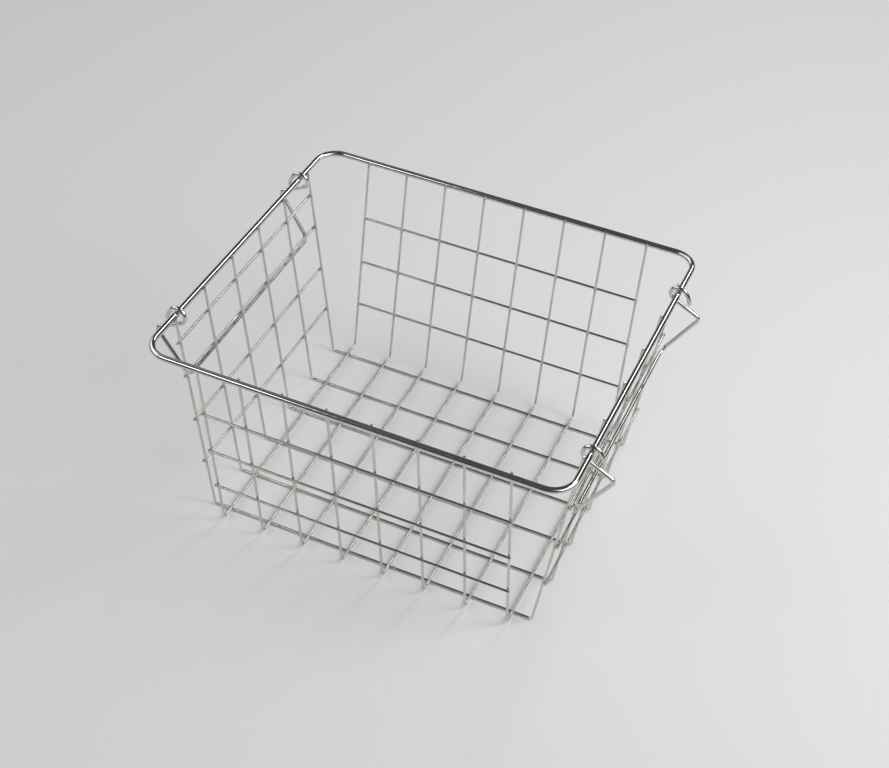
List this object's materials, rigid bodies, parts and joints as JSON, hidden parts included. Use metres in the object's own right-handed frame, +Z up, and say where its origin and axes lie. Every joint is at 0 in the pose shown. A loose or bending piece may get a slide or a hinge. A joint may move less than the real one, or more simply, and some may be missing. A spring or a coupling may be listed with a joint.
{
  "type": "wire basket",
  "caption": "Rectangular welded stainless wire basket with a heavy round rim, walls that taper to the floor, and a loose wire drop handle hanging on each short side.",
  "frame": {"origin": "on the ground, under the middle of the basket", "axes": "+Z up; X along the long side, between the two handles; Y along the short side, -Y to the front wall"},
  "size_m": [0.4462, 0.359, 0.2308],
  "materials": {
    "rim_steel": "bright polished stainless steel",
    "mesh_steel": "bright drawn stainless steel wire, lightly electropolished",
    "handle_steel": "bright drawn stainless steel wire"
  },
  "bodies": {
    "basket": {"rim": "rim_steel", "long_wire_1": "mesh_steel", "long_wire_2": "mesh_steel", "long_wire_3": "mesh_steel", "long_wire_4": "mesh_steel", "long_wire_5": "mesh_steel", "long_wire_6": "mesh_steel", "cross_wire_1": "mesh_steel", "cross_wire_2": "mesh_steel", "cross_wire_3": "mesh_steel", "cross_wire_4": "mesh_steel", "cross_wire_5": "mesh_steel", "cross_wire_6": "mesh_steel", "cross_wire_7": "mesh_steel", "cross_wire_8": "mesh_steel", "front_rail_1": "mesh_steel", "front_rail_2": "mesh_steel", "front_rail_3": "mesh_steel", "back_rail_1": "mesh_steel", "back_rail_2": "mesh_steel", "back_rail_3": "mesh_steel", "left_rail_1": "mesh_steel", "left_rail_2": "mesh_steel", "left_rail_3": "mesh_steel", "left_rail_4": "mesh_steel", "right_rail_1": "mesh_steel", "right_rail_2": "mesh_steel", "right_rail_3": "mesh_steel", "right_rail_4": "mesh_steel"},
    "left_handle": {"left_handle": "handle_steel"},
    "right_handle": {"right_handle": "handle_steel"}
  },
  "joints": [
    {"name": "left_handle_swing", "type": "hinge", "parent": "basket", "child": "left_handle", "pos_m": [-0.19925, 0, 0.2235], "axis": [0, 1, 0], "range_deg": [-2, 300]},
    {"name": "right_handle_swing", "type": "hinge", "parent": "basket", "child": "right_handle", "pos_m": [0.19925, 0, 0.2235], "axis": [0, -1, 0], "range_deg": [-2, 300]}
  ]
}
